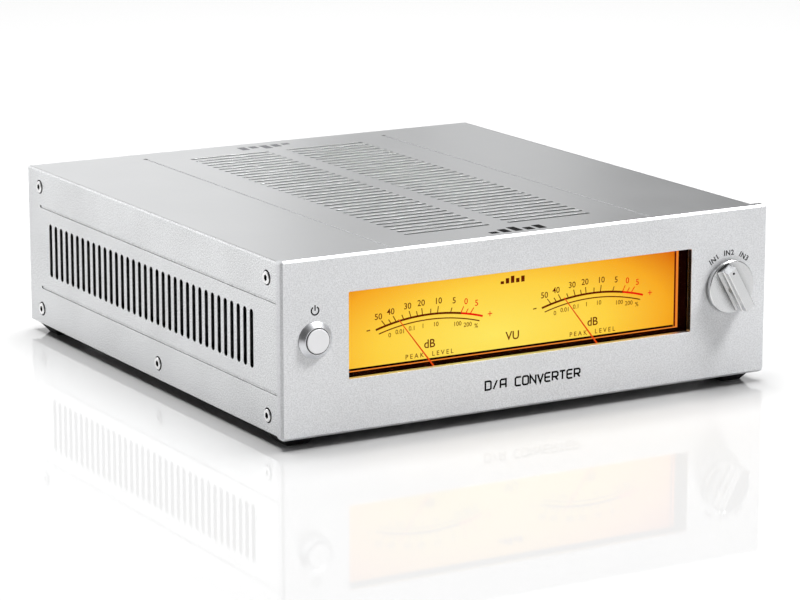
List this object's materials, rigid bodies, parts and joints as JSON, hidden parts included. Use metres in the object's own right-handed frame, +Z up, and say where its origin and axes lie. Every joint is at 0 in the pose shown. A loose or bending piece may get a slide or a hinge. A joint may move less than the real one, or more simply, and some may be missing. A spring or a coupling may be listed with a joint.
{
  "type": "desktop dac",
  "caption": "Desktop digital-to-analogue converter: low silver case with a backlit twin needle meter window, push button, bar knob, slotted vents and rear audio sockets.",
  "frame": {"origin": "middle of the footprint, on the surface the feet stand on", "axes": "+Z up, +X to the right seen from the front, -Y out of the front panel"},
  "size_m": [0.245, 0.2782, 0.0809],
  "materials": {
    "silver_aluminium": "bead-blasted and clear anodised",
    "polished_aluminium": "diamond-turned, bright",
    "button_cap": "satin white",
    "clear_glass": "clear, polished",
    "lit_dial": "printed translucent film lit from behind",
    "white_plastic": "moulded, matt",
    "clear_acrylic": "clear light guide",
    "black_plastic": "moulded, matt black",
    "ceramic": "glazed ceramic",
    "circuit_board": "solder-masked laminate",
    "steel": "nickel-plated",
    "magnet_iron": "sintered",
    "copper": "enamelled winding wire",
    "needle_paint": "orange-red paint",
    "gold_plate": "gold-plated",
    "black_rubber": "moulded rubber"
  },
  "bodies": {
    "case": {"board_posts": "steel", "board_screws": "steel", "bottom_plate": "silver_aluminium", "button_spring": "steel", "chips": "black_plastic", "coaxial_input_jack": "gold_plate", "connector_pins": "gold_plate", "dial_plate": "lit_dial", "feet": "black_rubber", "foot_screws": "steel", "front_board": "circuit_board", "front_panel": "silver_aluminium", "front_panel_screws": "steel", "front_standoffs": "steel", "jack_insulators": "white_plastic", "ladder_resistors": "black_plastic", "led_board": "circuit_board", "leds": "white_plastic", "left_balanced_output": "steel", "left_meter_magnet": "magnet_iron", "left_output_jack": "gold_plate", "left_side_plate": "silver_aluminium", "light_frame": "black_plastic", "light_frame_screws": "steel", "light_guide": "clear_acrylic", "main_board": "circuit_board", "mains_inlet": "black_plastic", "meter_bracket": "steel", "optical_input": "black_plastic", "power_board": "circuit_board", "power_button_ring": "polished_aluminium", "power_capacitors": "black_plastic", "power_switch": "black_plastic", "rear_panel": "silver_aluminium", "rear_screws": "steel", "reflector": "white_plastic", "right_balanced_output": "steel", "right_meter_magnet": "magnet_iron", "right_output_jack": "gold_plate", "right_side_plate": "silver_aluminium", "ring_nut": "steel", "rocker_frame": "black_plastic", "selector_switch": "steel", "side_screws": "steel", "top_cover": "silver_aluminium", "transformer": "copper", "transformer_bolt": "steel", "usb_socket": "steel", "valve_sockets": "ceramic", "valves": "clear_glass", "window_glass": "clear_glass"},
    "button": {"power_button": "button_cap"},
    "selector": {"selector_knob": "silver_aluminium", "selector_shaft": "steel"},
    "left_movement": {"left_needle": "needle_paint", "left_meter_coil": "copper"},
    "right_movement": {"right_needle": "needle_paint", "right_meter_coil": "copper"},
    "rocker": {"mains_rocker": "black_plastic"},
    "shutter": {"optical_shutter": "black_plastic"}
  },
  "joints": [
    {"name": "power_button_press", "type": "slide", "parent": "case", "child": "button", "axis": [0, 1, 0], "range_m": [0, 0.0018], "stiffness_N_per_m": 300, "springref_m": -0.001, "deforming": ["button_spring"]},
    {"name": "selector_turn", "type": "hinge", "parent": "case", "child": "selector", "pos_m": [0.102, -0.13, 0.0461], "axis": [0, 1, 0], "range_deg": [0, 60]},
    {"name": "left_needle_swing", "type": "hinge", "parent": "case", "child": "left_movement", "pos_m": [-0.0457, -0.1239, 0.0253], "axis": [0, 1, 0], "range_deg": [-18.2, 93.8], "stiffness_Nm_per_rad": 0.0005},
    {"name": "right_needle_swing", "type": "hinge", "parent": "case", "child": "right_movement", "pos_m": [0.037, -0.1239, 0.0253], "axis": [0, 1, 0], "range_deg": [-18.2, 93.8], "stiffness_Nm_per_rad": 0.0005},
    {"name": "rocker_tilt", "type": "hinge", "parent": "case", "child": "rocker", "pos_m": [-0.054, 0.1225, 0.042], "axis": [1, 0, 0], "range_deg": [0, 24]},
    {"name": "shutter_swing", "type": "hinge", "parent": "case", "child": "shutter", "pos_m": [0.061, 0.1252, 0.0568], "axis": [-1, 0, 0], "range_deg": [0, 75], "stiffness_Nm_per_rad": 0.0002, "springref_deg": -20.05}
  ]
}
